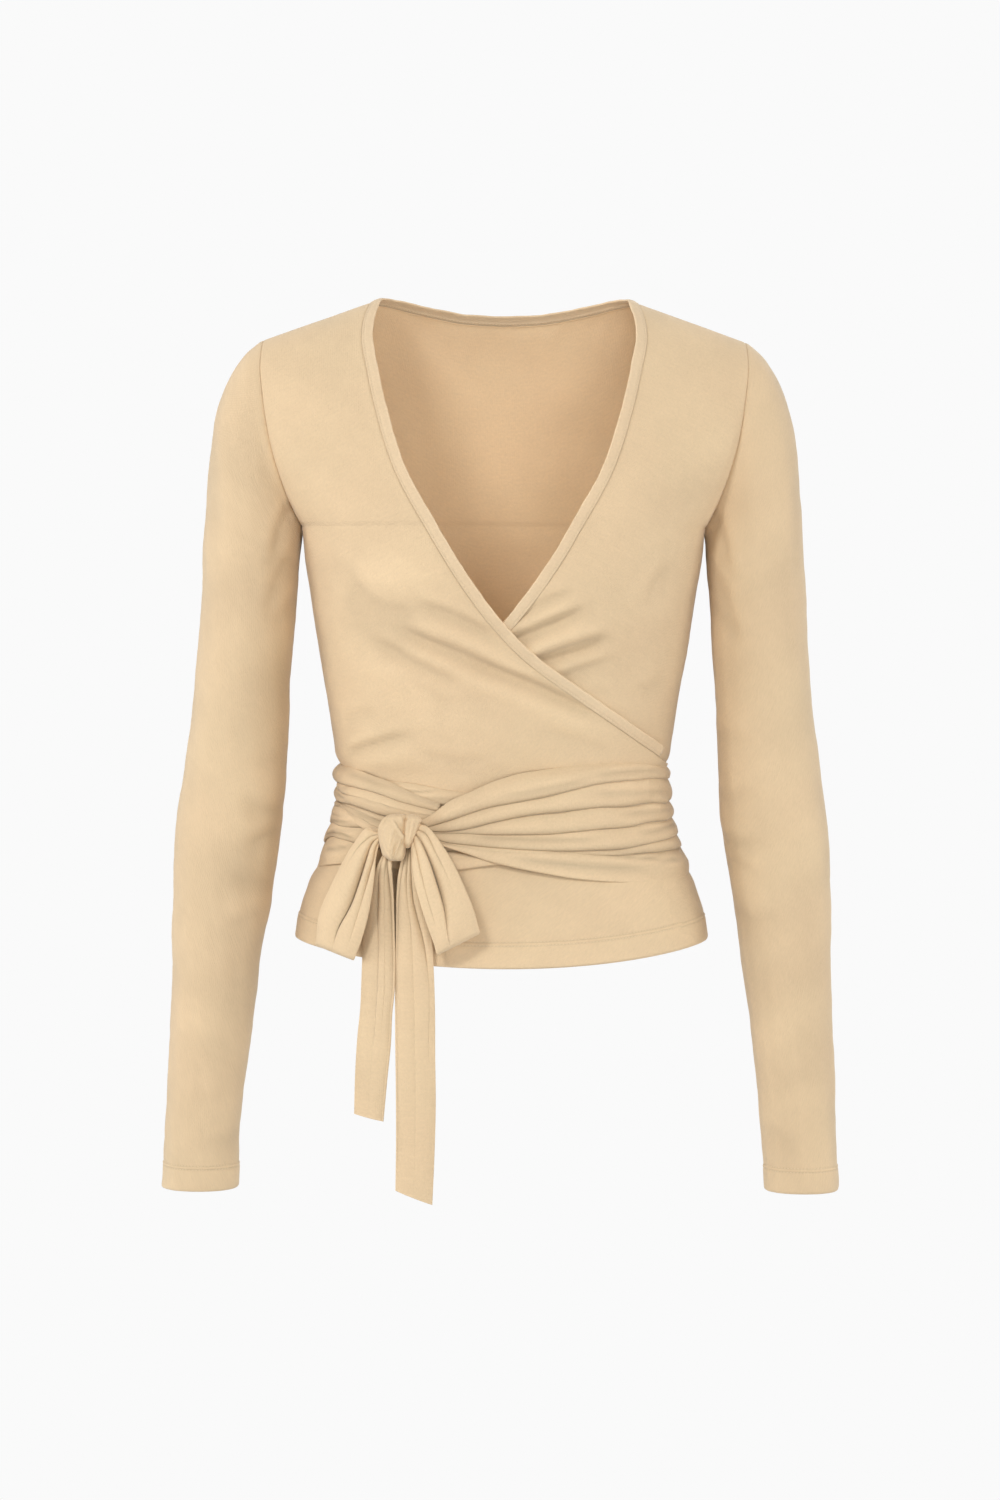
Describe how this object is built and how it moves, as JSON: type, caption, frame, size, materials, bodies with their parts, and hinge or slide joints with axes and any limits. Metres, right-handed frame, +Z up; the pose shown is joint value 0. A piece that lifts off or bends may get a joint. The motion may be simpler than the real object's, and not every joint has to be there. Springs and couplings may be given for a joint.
{
  "type": "wrap top",
  "caption": "Long-sleeved jersey wrap top with a crossed V neck, its long ties wound twice round the waist and knotted in a bow at the front.",
  "frame": {"origin": "midpoint between the middles of the two shoulder seams, where the wearer's shoulders carry the garment", "axes": "+X towards the wearer's left side, -Y the garment's front, +Z up"},
  "size_m": [0.503, 0.2191, 0.6574],
  "materials": {
    "jersey": "matte, softly brushed fine jersey in light camel",
    "neckband": "matte fine jersey in light camel, doubled and topstitched",
    "ties": "matte fine jersey in light camel, doubled and softly pleated"
  },
  "bodies": {
    "root": {"right_front": "jersey", "left_front": "jersey", "back": "jersey", "sleeve_left": "jersey", "sleeve_right": "jersey", "neckband_right": "neckband", "neckband_left": "neckband", "neckband_back": "neckband", "wrap_inner": "ties", "tie_front": "ties", "tie_back": "ties", "tie_left": "ties", "knot_over": "ties", "knot_under": "ties", "loop_left": "ties", "loop_right": "ties", "tail_left": "ties", "tail_right": "ties"}
  },
  "joints": []
}
